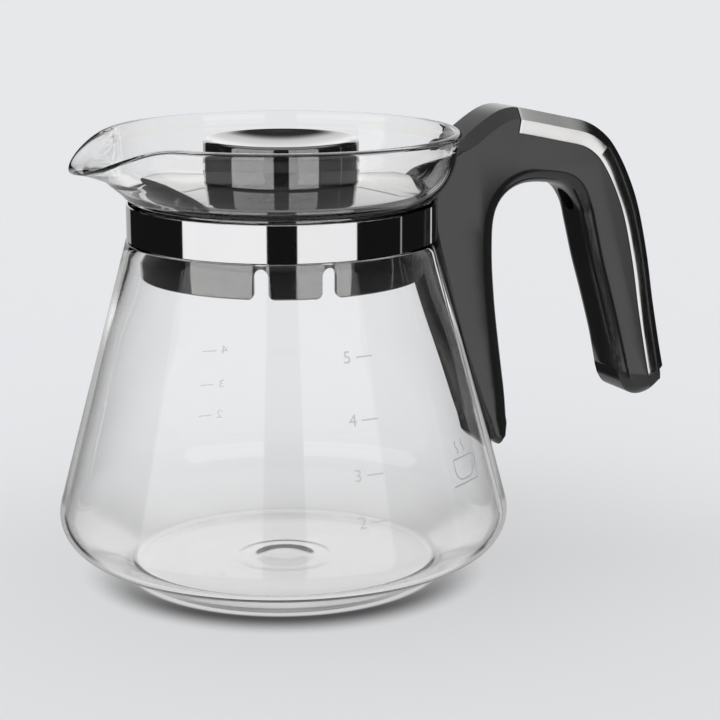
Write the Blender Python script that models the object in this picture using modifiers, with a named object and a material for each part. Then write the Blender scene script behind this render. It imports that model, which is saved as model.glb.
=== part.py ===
"""Glass coffee jug with a lift-out lid, a steel neck band and a bolt-on handle.

Metres, +Z up.  The origin is the centre of the flat base, on the surface the jug stands on.
+X points to the handle and -X to the spout, so the jug is symmetric about the XZ plane.
"""

import math

import bmesh
import bpy
from mathutils import Matrix, Vector

MM = 0.001

# ---- driving dimensions, in millimetres -------------------------------------------------
WALL_THICK = 1.3              # of the lower wall, measured level
COLLAR_THICK = 1.7
SHOULDER_THICK = 1.5
FLOOR_THICK = 2.0
BASE_RADIUS = 42.4            # flat circle the jug stands on
BASE_RISE = 28.7              # slope of the underside outside that circle, in degrees
SHOULDER_RADIUS = 10.0        # rounding between the underside and the wall
SHOULDER_CENTRE = (53.3, 17.37)
WALL_TAPER = 0.268            # radius lost per unit of height
WALL_TOP = (43.05, 94.15)     # radius and height where the wall meets the band's groove
NECK_RADIUS = 41.8            # outside of the glass, in the groove under the band
NECK_INNER = 39.5
NECK_Z = (94.4, 105.2)
COLLAR_RADIUS = 48.35
COLLAR_CURVE = 17.2           # radius of the collar's bulge
COLLAR_CURVE_Z = 119.0
RIM_RADIUS = 49.4
RIM_BEAD = 1.25               # radius of the fire-polished rim
RIM_Z = 124.0
GLASS_STEPS = 60

# How the wall thickens towards the neck: height, and thickness as a multiple of the lower wall.
WALL_GROWTH = ((28.0, 1.08), (50.0, 1.0), (62.0, 1.08), (70.0, 1.38), (78.0, 1.92), (85.0, 2.1))

SPOUT_REACH = 10.9            # how far the tip stands out beyond the rim
SPOUT_DIP = 8.3               # how far the tip drops below the rim
SPOUT_HALF_ANGLE = math.radians(36.0)
SPOUT_FOOT_Z = 108.0          # the collar starts to bend out here

BAND_INNER = 42.1
BAND_THICK = 0.6
BAND_Z = (94.7, 104.8)
BAND_END_Y = 4.9              # the band's ends leave the ring at this distance from the XZ plane
BAND_END_X = 48.3
BAND_HOOK_Y = 2.9

LID_EDGE_RADIUS = 40.4
LID_EDGE_Z = 108.6
LID_CROWN_Z = 110.1           # the cover rises a little towards the knob
LID_PLATE = 1.8
WINDOW_X = -31.0              # the cover is cut off straight here, over the spout
SKIRT_RADIUS = 39.05
SKIRT_WALL = 1.8
SKIRT_Z = (84.4, 106.2)
TAB_ANGLES = (0.0, 108.0, -108.0)
NOTCH_OFFSET = 13.0           # degrees from a tab's middle to the notch beside it
NOTCH_WIDTH = 3.8
NOTCH_HEIGHT = 7.8

KNOB_RADIUS = 21.35
KNOB_Z = (110.4, 121.9)
KNOB_WALL = 1.9
DISH_RADIUS = 19.9
DISH_DEPTH = 3.0
HUB_RADIUS = 5.0              # boss under the cover, which the knob screw passes through
HUB_LENGTH = 5.0
KNOB_BOSS = 4.6
KNOB_SCREW_RADIUS = 1.6

HANDLE_HALF_WIDTH = 9.0
OUTER_CHAMFER = 3.2
INNER_ROUND = 5.0
SCREW_Z = 99.0                # the clamp screw and the driver bore share this axis along X
SCREW_RADIUS = 1.95
SCREW_HEAD_RADIUS = 3.4
SCREW_X = (44.4, 62.3)
HEAD_SEAT_X = 58.5
HEAD_HEIGHT = 2.4
SOCKET_RADIUS = 1.25
SOCKET_DEPTH = 1.2
HEAD_SEAT_REACH_X = (HEAD_SEAT_X, 72.0)
SHANK_HOLE_X = (45.0, 62.0)
SHANK_GAP = 0.4
HEAD_GAP = 0.5
DRIVER_BORE_RADIUS = 3.3
DRIVER_BORE_X = (84.0, 116.0)
CLAMP_POCKET = ((40.0, -6.2, 94.1), (49.3, 6.2, 105.4))    # opposite corners of the recess
CLAMP_CLEAR = 1.3             # from the band's inner face to the clamp block
CLAMP_INSET = 0.4             # how much lower the block is than the band, above and below

TRIM_THICK = 0.8
TRIM_DEPTH = 7.1              # how far the trim's cheeks come down the handle's sides
TRIM_START_X = 70.6
RECESS_OVERRUN = 6.0          # the cutter for the trim's seat runs past the grip's end
RECESS_OUTSIDE = 3.0          # and stands out from the handle
FIT_GAP = 0.3                 # room left between pieces that touch

# Points of the handle seen from the side, (X, Z).  The ridge is the outer edge from the nose,
# over the top and down the grip; the gap edge is the inner edge that the fingers go through.
RIDGE = [(50.4, 117.3), (56.8, 122.3), (62.9, 126.1), (67.4, 127.5), (72.0, 127.2),
         (84.0, 124.6), (93.9, 122.1), (100.5, 117.9), (105.0, 112.3), (109.3, 104.2),
         (112.7, 95.0), (116.0, 81.2), (118.5, 67.2), (121.4, 53.0), (122.9, 46.4)]
GRIP_END = [(121.9, 42.6), (117.6, 39.8), (113.0, 39.0), (109.4, 40.4), (107.2, 43.6)]
GAP_EDGE = [(104.6, 52.1), (101.9, 61.7), (99.1, 71.2), (96.2, 80.6), (93.5, 91.0),
            (91.4, 98.2), (87.2, 103.4), (80.5, 105.2), (73.0, 105.2), (67.2, 102.4),
            (63.9, 96.6), (63.4, 86.0), (64.4, 72.0), (66.2, 58.0), (68.2, 44.0), (69.0, 35.0)]
TONGUE_END = [(68.2, 30.9), (65.6, 28.8), (62.9, 30.8)]
JUG_SIDE = [(61.6, 36.0), (53.7, 58.1), (48.7, 75.1), (44.95, 88.8), (43.75, 93.4), (43.4, 95.0),
            (43.3, 105.6), (45.2, 108.1), (47.4, 111.6), (48.8, 115.2)]


# ---- small helpers ----------------------------------------------------------------------
def clear_scene():
    for item in list(bpy.data.objects):
        bpy.data.objects.remove(item, do_unlink=True)


def new_collection(name):
    collection = bpy.data.collections.new(name)
    bpy.context.scene.collection.children.link(collection)
    return collection


def make_material(name, colour, roughness, metallic=0.0, transmission=0.0, ior=1.5):
    material = bpy.data.materials.new(name)
    material.use_nodes = True
    shader = material.node_tree.nodes["Principled BSDF"]
    shader.inputs["Base Color"].default_value = (*colour, 1.0)
    shader.inputs["Roughness"].default_value = roughness
    shader.inputs["Metallic"].default_value = metallic
    shader.inputs["Transmission Weight"].default_value = transmission
    shader.inputs["IOR"].default_value = ior
    return material


def add_object(name, data, collection, material=None):
    item = bpy.data.objects.new(name, data)
    collection.objects.link(item)
    if material is not None:
        data.materials.append(material)
    return item


def evaluated_mesh(item):
    """The object's mesh with its modifiers or curve settings applied, caps welded."""
    bpy.context.view_layer.update()
    graph = bpy.context.evaluated_depsgraph_get()
    mesh = bpy.data.meshes.new_from_object(item.evaluated_get(graph))
    edit = bmesh.new()
    edit.from_mesh(mesh)
    bmesh.ops.remove_doubles(edit, verts=edit.verts, dist=0.001 * MM)
    edit.to_mesh(mesh)
    edit.free()
    return mesh


def settle(item):
    """Replace a curve, or an object with modifiers, by a plain mesh object of the same name."""
    name = item.name
    mesh = evaluated_mesh(item)
    collection = item.users_collection[0]
    matrix = item.matrix_world.copy()
    bpy.data.objects.remove(item, do_unlink=True)
    mesh.name = name
    solid = bpy.data.objects.new(name, mesh)
    solid.matrix_world = matrix
    collection.objects.link(solid)
    return solid


def shade(item, angle=35.0):
    item.data.shade_smooth()
    item.data.set_sharp_from_angle(angle=math.radians(angle))


def arc(centre, radius, start, end, count):
    """Points on a circle, from one angle to another, in degrees."""
    points = []
    for step in range(count + 1):
        angle = math.radians(start + (end - start) * step / count)
        points.append((centre[0] + radius * math.cos(angle), centre[1] + radius * math.sin(angle)))
    return points


def smooth_path(points, steps):
    """A Catmull-Rom curve through the points, with so many steps between neighbours."""
    ends = [points[0]] + list(points) + [points[-1]]
    path = []
    for i in range(1, len(ends) - 2):
        p0, p1, p2, p3 = (Vector(p) for p in ends[i - 1:i + 3])
        for step in range(steps):
            t = step / steps
            path.append(0.5 * (2 * p1 + (p2 - p0) * t + (2 * p0 - 5 * p1 + 4 * p2 - p3) * t * t
                               + (3 * p1 - p0 - 3 * p2 + p3) * t ** 3))
    path.append(Vector(points[-1]))
    return path


def profile_mesh(name, points, closed):
    """A chain of edges in the XZ plane, from (radius, height) points in millimetres."""
    mesh = bpy.data.meshes.new(name)
    verts = [(r * MM, 0.0, z * MM) for r, z in points]
    edges = [(i, i + 1) for i in range(len(points) - 1)]
    if closed:
        edges.append((len(points) - 1, 0))
    mesh.from_pydata(verts, edges, [])
    return mesh


def turned(name, points, collection, material, steps=64, closed=True, axis="Z"):
    """A turned piece: its profile runs down the outer side and back up inside."""
    item = add_object(name, profile_mesh(name, points, closed), collection, material)
    screw = item.modifiers.new("turn", "SCREW")
    screw.axis = "Z"
    screw.angle = math.tau
    screw.steps = steps
    screw.render_steps = steps
    screw.use_merge_vertices = True
    screw.merge_threshold = 0.01 * MM
    item = settle(item)
    if axis == "X":
        item.data.transform(Matrix.Rotation(math.radians(90.0), 4, "Y"))
    if material is not None and not item.data.materials:
        item.data.materials.append(material)
    shade(item)
    return item


def flat_outline(name, points, half_thickness, collection, material=None):
    """A filled closed outline in the XZ plane, thickened equally along +Y and -Y."""
    curve = bpy.data.curves.new(name, "CURVE")
    curve.dimensions = "2D"
    curve.fill_mode = "BOTH"
    curve.extrude = half_thickness * MM
    spline = curve.splines.new("POLY")
    spline.points.add(len(points) - 1)
    for point, (x, z) in zip(spline.points, points):
        point.co = (x * MM, z * MM, 0.0, 1.0)
    spline.use_cyclic_u = True
    item = add_object(name, curve, collection, material)
    item.rotation_euler = (math.radians(90.0), 0.0, 0.0)
    return settle(item)


def swept(name, section, path, collection, material=None):
    """A closed section carried along a path in the XZ plane.

    The section's first coordinate is across (along Y), its second stands out from the path.
    """
    shape = bpy.data.curves.new(name + "_section", "CURVE")
    shape.dimensions = "2D"
    shape_line = shape.splines.new("POLY")
    shape_line.points.add(len(section) - 1)
    for point, (across, out) in zip(shape_line.points, section):
        point.co = (-out * MM, across * MM, 0.0, 1.0)
    shape_line.use_cyclic_u = True
    shape_item = add_object(name + "_section", shape, collection)

    curve = bpy.data.curves.new(name, "CURVE")
    curve.dimensions = "3D"
    curve.twist_mode = "Z_UP"
    curve.bevel_mode = "OBJECT"
    curve.bevel_object = shape_item
    curve.use_fill_caps = True
    spline = curve.splines.new("POLY")
    spline.points.add(len(path) - 1)
    for point, (x, z) in zip(spline.points, path):
        point.co = (x * MM, z * MM, 0.0, 1.0)
    item = add_object(name, curve, collection)
    item.rotation_euler = (math.radians(90.0), 0.0, 0.0)
    solid = settle(item)
    bpy.data.objects.remove(shape_item, do_unlink=True)
    if material is not None:
        solid.data.materials.clear()
        solid.data.materials.append(material)
    face_out(solid)
    return solid


def face_out(item):
    edit = bmesh.new()
    edit.from_mesh(item.data)
    bmesh.ops.recalc_face_normals(edit, faces=edit.faces)
    edit.to_mesh(item.data)
    edit.free()


def box_piece(name, low, high, collection, material=None):
    """A box between two corners given in millimetres."""
    edit = bmesh.new()
    scale = Matrix.Diagonal([(b - a) * MM for a, b in zip(low, high)] + [1.0])
    place = Matrix.Translation([(a + b) / 2 * MM for a, b in zip(low, high)])
    bmesh.ops.create_cube(edit, size=1.0, matrix=place @ scale)
    return mesh_object(name, edit, collection, material)


def box_cutter(name, low, high, collection):
    return hide_cutter(box_piece(name, low, high, collection))


def rod_cutter(name, radius, start, end, height, collection, steps=32):
    """A round cutter along X at y = 0."""
    edit = bmesh.new()
    place = Matrix.Translation(((start + end) / 2 * MM, 0.0, height * MM))
    turn = Matrix.Rotation(math.radians(90.0), 4, "Y")
    bmesh.ops.create_cone(edit, cap_ends=True, segments=steps, radius1=radius * MM,
                          radius2=radius * MM, depth=(end - start) * MM, matrix=place @ turn)
    return hide_cutter(mesh_object(name, edit, collection))


def mesh_object(name, edit, collection, material=None):
    mesh = bpy.data.meshes.new(name)
    edit.to_mesh(mesh)
    edit.free()
    return add_object(name, mesh, collection, material)


def hide_cutter(item):
    item.hide_render = True
    item.display_type = "WIRE"
    return item


def cut(item, *cutters):
    for tool in cutters:
        step = item.modifiers.new("cut_" + tool.name, "BOOLEAN")
        step.operation = "DIFFERENCE"
        step.solver = "EXACT"
        step.object = tool


# ---- the glass --------------------------------------------------------------------------
def outside_profile():
    """Outer surface of the jug from the rim down to the middle of the base."""
    bead = (RIM_RADIUS - RIM_BEAD, RIM_Z - RIM_BEAD)
    bulge = (COLLAR_RADIUS - COLLAR_CURVE, COLLAR_CURVE_Z)
    lean = math.degrees(math.atan(WALL_TAPER))
    shoulder = arc(SHOULDER_CENTRE, SHOULDER_RADIUS, lean, BASE_RISE - 90.0, 8)
    points = arc(bead, RIM_BEAD, 90.0, -15.0, 3)
    points += arc(bulge, COLLAR_CURVE, 3.0, -48.0, 8)
    points += [(NECK_RADIUS, NECK_Z[1]), (NECK_RADIUS, NECK_Z[0]), (WALL_TOP[0] - 0.15, NECK_Z[0])]
    points += between(WALL_TOP, shoulder[0], 3)
    points += shoulder
    points += [(BASE_RADIUS, 0.0), (BASE_RADIUS * 0.5, 0.0), (0.0, 0.0)]
    return points


def inside_profile():
    """Inner surface from the middle of the floor up to the rim; the neck is thicker than the wall."""
    bead = (RIM_RADIUS - RIM_BEAD, RIM_Z - RIM_BEAD)
    bulge = (COLLAR_RADIUS - COLLAR_CURVE, COLLAR_CURVE_Z)
    lean = math.degrees(math.atan(WALL_TAPER))
    corner = arc(SHOULDER_CENTRE, SHOULDER_RADIUS - SHOULDER_THICK, BASE_RISE - 90.0, lean, 8)
    # the floor meets the sloping part where the slope, carried down, reaches the floor's height
    floor_radius = corner[0][0] - (corner[0][1] - FLOOR_THICK) / math.tan(math.radians(BASE_RISE))
    points = [(0.0, FLOOR_THICK), (floor_radius * 0.5, FLOOR_THICK), (floor_radius - 1.2, FLOOR_THICK),
              (floor_radius + 1.2, FLOOR_THICK + 0.7)]
    points += corner
    points += [(wall_radius(height) - WALL_THICK * growth, height) for height, growth in WALL_GROWTH]
    points += [(41.2, 91.0), (NECK_INNER + 0.4, 95.0), (NECK_INNER, 98.0), (NECK_INNER, 103.5),
               (NECK_INNER + 0.2, 105.0), (NECK_INNER + 1.0, 106.2)]
    points += arc(bulge, COLLAR_CURVE - COLLAR_THICK, -49.0, 0.0, 7)
    points += [(bead[0] - RIM_BEAD - 0.15, 121.0)]
    points += arc(bead, RIM_BEAD, 180.0, 120.0, 2)
    return points


def between(start, end, count):
    """Points from start towards end, without the end itself."""
    return [(start[0] + (end[0] - start[0]) * i / count, start[1] + (end[1] - start[1]) * i / count)
            for i in range(count)]


def wall_radius(height):
    """Outer radius of the straight wall."""
    return WALL_TOP[0] + (WALL_TOP[1] - height) * WALL_TAPER


def spout_shift(x, y, z):
    """How a point of the collar moves to form the spout: outwards share and downwards share."""
    off_axis = math.atan2(abs(y), -x)
    if off_axis > SPOUT_HALF_ANGLE or z < SPOUT_FOOT_Z:
        return 0.0, 0.0
    across = 0.5 + 0.5 * math.cos(math.pi * off_axis / SPOUT_HALF_ANGLE)
    up = (z - SPOUT_FOOT_Z) / (RIM_Z - SPOUT_FOOT_Z)
    drop = max(0.0, (up - 0.27) / 0.73)
    return across * up ** 1.1, across ** 1.3 * drop ** 1.15


def bend_spout(mesh):
    for vertex in mesh.vertices:
        x, y, z = (c / MM for c in vertex.co)
        radius = math.hypot(x, y)
        if radius < 1.0:
            continue
        out, down = spout_shift(x, y, z)
        grow = (radius + SPOUT_REACH * out) / radius
        vertex.co = (x * grow * MM, y * grow * MM, (z - SPOUT_DIP * down) * MM)


def build_glass(parts, material):
    profile = inside_profile() + outside_profile()
    jug = turned("glass_jug", profile, parts, material, GLASS_STEPS, closed=False)
    bend_spout(jug.data)


# ---- the band and its clamp --------------------------------------------------------------
def build_band(parts, material):
    """A steel strap round the neck; its two ends turn out and hook over the clamp block."""
    middle = BAND_INNER + BAND_THICK / 2
    start = math.degrees(math.asin(BAND_END_Y / middle))
    ring = arc((0.0, 0.0), middle, start, 360.0 - start, 72)
    upper = [(BAND_END_X, BAND_HOOK_Y), (BAND_END_X, BAND_END_Y)]
    lower = [(BAND_END_X, -BAND_END_Y), (BAND_END_X, -BAND_HOOK_Y)]
    curve = bpy.data.curves.new("neck_band", "CURVE")
    curve.dimensions = "3D"
    curve.extrude = (BAND_Z[1] - BAND_Z[0]) / 2 * MM
    points = upper + ring + lower
    spline = curve.splines.new("POLY")
    spline.points.add(len(points) - 1)
    for point, (x, y) in zip(spline.points, points):
        point.co = (x * MM, y * MM, 0.0, 1.0)
    item = add_object("neck_band", curve, parts)
    item.location = (0.0, 0.0, sum(BAND_Z) / 2 * MM)
    band = settle(item)
    band.data.materials.clear()
    band.data.materials.append(material)
    thick = band.modifiers.new("sheet", "SOLIDIFY")
    thick.thickness = BAND_THICK * MM
    thick.offset = 0.0
    thick.use_even_offset = True
    shade(band)


def build_clamp(parts, cutters, zinc):
    """The threaded block that the hooks pull on, and the long screw with its washer."""
    half = BAND_END_Y - BAND_THICK / 2 - FIT_GAP
    low = (BAND_INNER + CLAMP_CLEAR, -half, BAND_Z[0] + CLAMP_INSET)
    high = (BAND_END_X - BAND_THICK / 2 - FIT_GAP, half, BAND_Z[1] - CLAMP_INSET)
    block = box_piece("clamp_block", low, high, parts, zinc)
    cut(block, rod_cutter("block_hole_cutter", SCREW_RADIUS + FIT_GAP, low[0] - 1, high[0] + 1,
                          SCREW_Z, cutters, 24))

    # the screw is drawn standing on its tip, then laid along X with the head towards the fingers
    length = SCREW_X[1] - SCREW_X[0]
    shank = length - HEAD_HEIGHT
    bottom = length - SOCKET_DEPTH
    screw_points = [(0.0, bottom), (SOCKET_RADIUS, bottom), (SOCKET_RADIUS, length),
                    (SCREW_HEAD_RADIUS - 0.3, length - 0.7), (SCREW_HEAD_RADIUS, length - 1.5),
                    (SCREW_HEAD_RADIUS, shank), (SCREW_RADIUS, shank), (SCREW_RADIUS, 0.8),
                    (SCREW_RADIUS - 0.7, 0.0), (0.0, 0.0)]
    screw = turned("clamp_screw", screw_points, parts, zinc, 24, closed=False, axis="X")
    screw.location = (SCREW_X[0] * MM, 0.0, SCREW_Z * MM)

    washer_thick = SCREW_X[1] - HEAD_HEIGHT - HEAD_SEAT_X - 2 * FIT_GAP
    inner = SCREW_RADIUS + FIT_GAP
    outer = SCREW_HEAD_RADIUS + 0.15
    washer = turned("screw_washer", [(outer, washer_thick), (outer, 0.0), (inner, 0.0),
                                     (inner, washer_thick)], parts, zinc, 24, axis="X")
    washer.location = ((HEAD_SEAT_X + FIT_GAP) * MM, 0.0, SCREW_Z * MM)

# ---- the handle ---------------------------------------------------------------------------
def handle_outline():
    """Closed side outline of the handle, with the bevel share of the edge after each point."""
    outline = []
    for points, steps, share in ((RIDGE, 2, OUTER_CHAMFER / INNER_ROUND), (GRIP_END, 1, 0.5),
                                 (GAP_EDGE, 2, 1.0), (TONGUE_END, 1, 0.4), (JUG_SIDE, 1, 0.14)):
        path = smooth_path(points, steps) if steps > 1 else [Vector(p) for p in points]
        outline += [(p.x, p.y, share) for p in path]
    return outline


def trim_path():
    """The part of the ridge that the steel trim follows, from its step down to the grip's end."""
    path = [p for p in smooth_path(RIDGE, 2) if p.x >= TRIM_START_X + 0.8]
    first = next(p for p in smooth_path(RIDGE, 40) if p.x >= TRIM_START_X)
    return [first] + path


def channel_section(thickness, reach, lift, side):
    """Half-open channel: flat top, chamfers and two cheeks; returns the closed section."""
    flat = HANDLE_HALF_WIDTH - OUTER_CHAMFER
    outer = [(-HANDLE_HALF_WIDTH - side, -reach), (-HANDLE_HALF_WIDTH - side, -OUTER_CHAMFER),
             (-flat - side, lift), (flat + side, lift),
             (HANDLE_HALF_WIDTH + side, -OUTER_CHAMFER), (HANDLE_HALF_WIDTH + side, -reach)]
    shrink = thickness * math.tan(math.radians(22.5))
    inner_side = HANDLE_HALF_WIDTH - thickness
    inner = [(inner_side, -reach), (inner_side, -OUTER_CHAMFER - shrink),
             (flat - shrink, -thickness), (-flat + shrink, -thickness),
             (-inner_side, -OUTER_CHAMFER - shrink), (-inner_side, -reach)]
    return outer + inner


def build_handle(parts, cutters, plastic):
    outline = handle_outline()
    body = flat_outline("handle_body", [(x, z) for x, z, _ in outline], HANDLE_HALF_WIDTH, parts,
                        plastic)
    bevel_outline(body, outline)
    path = trim_path()
    start = path[0] + (path[0] - path[1]).normalized() * FIT_GAP
    end = path[-1] + (path[-1] - path[-2]).normalized() * RECESS_OVERRUN
    recess = swept("trim_recess_cutter",
                   channel_section(TRIM_THICK + FIT_GAP, TRIM_DEPTH + FIT_GAP,
                                   RECESS_OUTSIDE, RECESS_OUTSIDE),
                   [start] + path[1:] + [end], cutters)
    hide_cutter(recess)
    pocket = box_cutter("clamp_pocket_cutter", *CLAMP_POCKET, cutters)
    shank = rod_cutter("shank_hole_cutter", SCREW_RADIUS + SHANK_GAP, *SHANK_HOLE_X, SCREW_Z,
                       cutters, 24)
    seat = rod_cutter("head_seat_cutter", SCREW_HEAD_RADIUS + HEAD_GAP, *HEAD_SEAT_REACH_X,
                      SCREW_Z, cutters)
    bore = rod_cutter("driver_bore_cutter", DRIVER_BORE_RADIUS, *DRIVER_BORE_X, SCREW_Z, cutters)
    cut(body, recess, pocket, shank, seat, bore)
    shade(body, 40.0)


def bevel_outline(body, outline):
    """Round or chamfer the edges of both side faces, each stretch by its own amount."""
    edit = bmesh.new()
    edit.from_mesh(body.data)
    weights = edit.edges.layers.float.new("bevel_weight_edge")
    spots = [Vector((x * MM, z * MM)) for x, z, _ in outline]
    for edge in edit.edges:
        a, b = (vertex.co for vertex in edge.verts)
        faces = edge.link_faces
        if len(faces) != 2 or faces[0].normal.dot(faces[1].normal) > 0.3:
            continue
        if abs(a.z - b.z) > 0.1 * MM:
            continue
        middle = Vector((a.x + b.x, a.y + b.y)) / 2
        nearest = min(range(len(spots)), key=lambda i: (
            (spots[i] + spots[(i + 1) % len(spots)]) / 2 - middle).length)
        edge[weights] = outline[nearest][2]
    edit.to_mesh(body.data)
    edit.free()
    rounding = body.modifiers.new("edges", "BEVEL")
    rounding.width = INNER_ROUND * MM
    rounding.segments = 3
    rounding.profile = 0.5
    rounding.limit_method = "WEIGHT"


def build_trim(parts, material):
    section = channel_section(TRIM_THICK, TRIM_DEPTH, 0.0, 0.0)
    trim = swept("handle_trim", section, trim_path(), parts, material)
    shade(trim, 30.0)


# ---- the lid ------------------------------------------------------------------------------
def build_lid(parts, cutters, cover_plastic, skirt_plastic):
    inner = SKIRT_RADIUS - SKIRT_WALL
    under = LID_EDGE_Z - LID_PLATE
    hub_bottom = LID_CROWN_Z - HUB_LENGTH
    screw_hole = KNOB_SCREW_RADIUS + 0.5
    cover_points = [(screw_hole, LID_CROWN_Z), (KNOB_RADIUS, LID_CROWN_Z),
                    (LID_EDGE_RADIUS - 0.7, LID_EDGE_Z), (LID_EDGE_RADIUS - 0.2, LID_EDGE_Z - 0.25),
                    (LID_EDGE_RADIUS, LID_EDGE_Z - 0.8), (LID_EDGE_RADIUS - 0.1, LID_EDGE_Z - 1.2),
                    (SKIRT_RADIUS, SKIRT_Z[1] + FIT_GAP), (inner - 0.6, SKIRT_Z[1] + FIT_GAP),
                    (inner - 0.9, under), (KNOB_RADIUS, LID_CROWN_Z - LID_PLATE),
                    (HUB_RADIUS, LID_CROWN_Z - LID_PLATE), (HUB_RADIUS, hub_bottom),
                    (screw_hole, hub_bottom)]
    cover = turned("lid_cover", cover_points, parts, cover_plastic, 72)
    window = box_cutter("pour_window_cutter", (-60.0, -60.0, 90.0), (WINDOW_X, 60.0, 112.0), cutters)
    cut(cover, window)

    skirt_points = [(SKIRT_RADIUS, SKIRT_Z[1]), (SKIRT_RADIUS, SKIRT_Z[0] + 0.4),
                    (SKIRT_RADIUS - 0.4, SKIRT_Z[0]), (inner, SKIRT_Z[0]), (inner, SKIRT_Z[1])]
    skirt = turned("lid_skirt", skirt_points, parts, skirt_plastic, 72)
    cut(skirt, notch_cutters(cutters))

def notch_cutters(cutters):
    """One cutter with a round-topped slot on each side of every snap tab."""
    half = NOTCH_WIDTH / 2
    top = SKIRT_Z[0] + NOTCH_HEIGHT - half
    outline = [(-half - 1.2, SKIRT_Z[0] - 1.0), (-half - 1.0, SKIRT_Z[0] + 0.1), (-half, SKIRT_Z[0] + 2.0)]
    outline += arc((0.0, top), half, 180.0, 0.0, 6)
    outline += [(half, SKIRT_Z[0] + 2.0), (half + 1.0, SKIRT_Z[0] + 0.1), (half + 1.2, SKIRT_Z[0] - 1.0)]
    merged = bmesh.new()
    for tab in TAB_ANGLES:
        for side in (-1, 1):
            slot = flat_outline("slot", outline, 4.0, cutters)
            turn = Matrix.Rotation(math.radians(90.0), 4, "Z")
            move = Matrix.Translation(((SKIRT_RADIUS - 1.0) * MM, 0.0, 0.0))
            spin = Matrix.Rotation(math.radians(tab + side * NOTCH_OFFSET), 4, "Z")
            slot.data.transform(spin @ move @ turn @ slot.matrix_world)
            merged.from_mesh(slot.data)
            bpy.data.objects.remove(slot, do_unlink=True)
    bmesh.ops.recalc_face_normals(merged, faces=merged.faces)
    return hide_cutter(mesh_object("notch_cutter", merged, cutters))


def build_knob(parts, plastic, steel):
    """A hollow knob with a dished top and a boss that the screw goes up into."""
    dish_floor = KNOB_Z[1] - DISH_DEPTH
    sphere = (DISH_RADIUS ** 2 + DISH_DEPTH ** 2) / (2 * DISH_DEPTH)
    reach = math.degrees(math.asin(DISH_RADIUS / sphere))
    dish = arc((0.0, dish_floor + sphere), sphere, -90.0, -90.0 + reach, 6)
    wall = KNOB_RADIUS - KNOB_WALL
    ceiling = dish_floor - KNOB_WALL
    bore = KNOB_SCREW_RADIUS + FIT_GAP
    points = dish + [(DISH_RADIUS + 0.6, KNOB_Z[1] + 0.1)]
    points += arc((KNOB_RADIUS - 1.0, KNOB_Z[1] - 1.0), 1.0, 60.0, 0.0, 3)
    points += [(KNOB_RADIUS, KNOB_Z[0] + 0.2), (KNOB_RADIUS - 0.2, KNOB_Z[0]), (wall, KNOB_Z[0]),
               (wall, KNOB_Z[1] - 2.6), (12.0, ceiling + 0.4), (KNOB_BOSS, ceiling), (KNOB_BOSS, KNOB_Z[0]),
               (bore, KNOB_Z[0]), (bore, ceiling - 0.2), (0.0, ceiling - 0.2)]
    turned("lid_knob", points, parts, plastic, 64, closed=False)

    head_top = LID_CROWN_Z - HUB_LENGTH - FIT_GAP
    head_bottom = head_top - 2.0
    tip = ceiling - 1.0
    screw_points = [(0.0, tip), (1.0, tip), (KNOB_SCREW_RADIUS, tip - 0.8),
                    (KNOB_SCREW_RADIUS, head_top), (3.0, head_top), (3.0, head_bottom + 0.8),
                    (2.4, head_bottom), (1.0, head_bottom), (1.0, head_bottom + 1.0),
                    (0.0, head_bottom + 1.0)]
    turned("knob_screw", screw_points, parts, steel, 24, closed=False)


def main():
    clear_scene()
    parts = new_collection("coffee_jug")
    cutters = new_collection("cutters")
    glass = make_material("borosilicate_glass", (0.97, 0.98, 0.98), 0.02, 0.0, 1.0, 1.47)
    polished = make_material("polished_steel", (0.82, 0.82, 0.83), 0.06, 1.0)
    brushed = make_material("brushed_steel", (0.72, 0.71, 0.70), 0.28, 1.0)
    handle_black = make_material("handle_black", (0.012, 0.012, 0.013), 0.12)
    cover_black = make_material("lid_cover_black", (0.010, 0.010, 0.011), 0.08)
    skirt_black = make_material("lid_skirt_black", (0.014, 0.014, 0.015), 0.20)
    knob_black = make_material("lid_knob_black", (0.010, 0.010, 0.011), 0.10)
    zinc = make_material("zinc_plated_steel", (0.62, 0.63, 0.66), 0.32, 1.0)
    stainless = make_material("stainless_screw", (0.70, 0.70, 0.71), 0.24, 1.0)

    build_glass(parts, glass)
    build_band(parts, polished)
    build_clamp(parts, cutters, zinc)
    build_handle(parts, cutters, handle_black)
    build_trim(parts, brushed)
    build_lid(parts, cutters, cover_black, skirt_black)
    build_knob(parts, knob_black, stainless)


main()
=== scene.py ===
"""Looks for the glass coffee jug: fine surfaces, materials, studio and camera.

Lengths are millimetres in the constants and metres in the meshes (MM converts).  The frame is the
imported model's: +Z up, +X to the handle, -X to the spout, origin in the middle of the flat base.
"""

import math

import bmesh
import bpy
from mathutils import Matrix, Vector


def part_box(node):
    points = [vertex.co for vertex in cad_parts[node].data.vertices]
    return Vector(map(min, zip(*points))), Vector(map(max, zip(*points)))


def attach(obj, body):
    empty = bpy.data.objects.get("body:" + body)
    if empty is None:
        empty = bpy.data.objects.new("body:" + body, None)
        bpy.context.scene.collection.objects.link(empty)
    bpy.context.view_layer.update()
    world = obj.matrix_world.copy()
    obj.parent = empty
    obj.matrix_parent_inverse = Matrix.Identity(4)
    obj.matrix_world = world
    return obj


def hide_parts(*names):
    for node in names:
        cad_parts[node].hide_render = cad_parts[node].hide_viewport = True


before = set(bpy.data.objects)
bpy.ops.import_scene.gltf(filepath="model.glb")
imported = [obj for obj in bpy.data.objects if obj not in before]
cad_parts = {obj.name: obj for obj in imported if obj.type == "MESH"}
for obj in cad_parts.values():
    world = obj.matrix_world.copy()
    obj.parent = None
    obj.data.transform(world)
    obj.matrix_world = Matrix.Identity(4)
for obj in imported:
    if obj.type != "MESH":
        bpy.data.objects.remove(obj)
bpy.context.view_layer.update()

MM = 0.001
TURN = math.tau


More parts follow.
